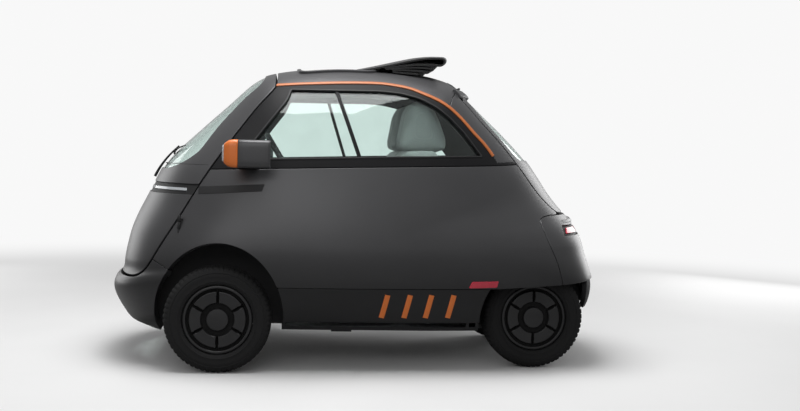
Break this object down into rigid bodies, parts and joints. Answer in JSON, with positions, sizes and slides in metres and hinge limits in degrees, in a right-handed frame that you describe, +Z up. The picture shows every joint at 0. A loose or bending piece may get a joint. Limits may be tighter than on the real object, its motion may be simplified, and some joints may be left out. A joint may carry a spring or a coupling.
{
  "type": "microcar",
  "caption": "Two-seat electric microcar with one front door, a rear hatch, a folded fabric roof and steered front wheels",
  "frame": {"origin": "on the ground under the middle of the car", "axes": "+X points forward, +Y to the left of the car, +Z up"},
  "size_m": [2.5183, 1.5886, 1.566],
  "materials": {
    "body_paint": "satin dark grey paint",
    "black_paint": "gloss black paint",
    "dark_plastic": "grained black plastic",
    "glass": "clear, slightly green",
    "roof_fabric": "woven black roof cloth",
    "red_lens": "red lens",
    "orange_trim": "satin orange paint",
    "mirror_glass": "silvered mirror glass",
    "clear_lens": "clear lens over white light",
    "dark_steel": "black coated steel",
    "black_rubber": "smooth black rubber",
    "seat_fabric": "light grey seat cover",
    "bare_alloy": "cast alloy",
    "black_alloy": "satin black wheel paint",
    "tyre": "tyre rubber"
  },
  "bodies": {
    "car_body": {"inner_tub": "dark_plastic", "body_side_left": "body_paint", "body_side_right": "body_paint", "window_frame_left": "black_paint", "window_frame_right": "black_paint", "side_window_left": "glass", "side_window_right": "glass", "roof": "body_paint", "folded_roof": "roof_fabric", "sill_left": "dark_plastic", "sill_right": "dark_plastic", "front_bumper": "body_paint", "rear_panel": "body_paint", "rear_apron": "dark_plastic", "tail_light_bar": "red_lens", "plate_holder": "dark_plastic", "tow_socket": "dark_steel", "mirror_pod_left": "body_paint", "mirror_pod_right": "body_paint", "door_hinge": "dark_steel", "hatch_hinge": "dark_steel", "seat_cushion": "seat_fabric", "seat_backrest": "seat_fabric", "steering_column": "dark_plastic", "pedals": "dark_steel", "battery": "dark_steel", "drive_motor": "bare_alloy", "front_axle": "dark_steel", "rear_axle": "dark_steel"},
    "door": {"front_door": "body_paint", "door_hinge_strap": "dark_steel", "windshield": "glass", "front_light_bar": "clear_lens", "door_beam": "dark_plastic", "wiper": "black_rubber"},
    "hatch": {"rear_hatch": "body_paint", "rear_window": "glass", "hatch_hinge_strap": "dark_steel"},
    "helm": {"steering_wheel": "black_rubber"},
    "left_knuckle": {"knuckle_left": "bare_alloy"},
    "right_knuckle": {"knuckle_right": "bare_alloy"},
    "front_left_wheel": {"front_wheel_left": "black_alloy", "front_tyre_left": "tyre"},
    "front_right_wheel": {"front_wheel_right": "black_alloy", "front_tyre_right": "tyre"},
    "rear_left_wheel": {"rear_wheel_left": "black_alloy", "rear_tyre_left": "tyre"},
    "rear_right_wheel": {"rear_wheel_right": "black_alloy", "rear_tyre_right": "tyre"}
  },
  "joints": [
    {"name": "door_swing", "type": "hinge", "parent": "car_body", "child": "door", "pos_m": [0.885, 0.624, 0.691], "axis": [0, 0, 1], "range_deg": [0, 75]},
    {"name": "hatch_lift", "type": "hinge", "parent": "car_body", "child": "hatch", "pos_m": [-0.504, 0, 1.408], "axis": [0, 1, 0], "range_deg": [0, 70]},
    {"name": "steer_left", "type": "hinge", "parent": "car_body", "child": "left_knuckle", "pos_m": [0.695, 0.555, 0.254], "axis": [0, 0, 1], "range_deg": [-30, 30]},
    {"name": "steer_right", "type": "hinge", "parent": "car_body", "child": "right_knuckle", "pos_m": [0.695, -0.555, 0.254], "axis": [0, 0, 1], "range_deg": [-30, 30]},
    {"name": "helm_turn", "type": "hinge", "parent": "car_body", "child": "helm", "pos_m": [0.4, 0.3, 1], "axis": [-0.848, 0, 0.5299], "range_deg": [-540, 540]},
    {"name": "front_left_spin", "type": "hinge", "parent": "left_knuckle", "child": "front_left_wheel", "pos_m": [0.695, 0.62, 0.254], "axis": [0, 1, 0], "continuous": true},
    {"name": "front_right_spin", "type": "hinge", "parent": "right_knuckle", "child": "front_right_wheel", "pos_m": [0.695, -0.62, 0.254], "axis": [0, 1, 0], "continuous": true},
    {"name": "rear_left_spin", "type": "hinge", "parent": "car_body", "child": "rear_left_wheel", "pos_m": [-0.871, 0.434, 0.254], "axis": [0, 1, 0], "continuous": true},
    {"name": "rear_right_spin", "type": "hinge", "parent": "car_body", "child": "rear_right_wheel", "pos_m": [-0.871, -0.434, 0.254], "axis": [0, 1, 0], "continuous": true}
  ],
  "couplings": [
    {"joint": "steer_right", "follows": "steer_left", "ratio": 1},
    {"joint": "helm_turn", "follows": "steer_left", "ratio": 18}
  ]
}
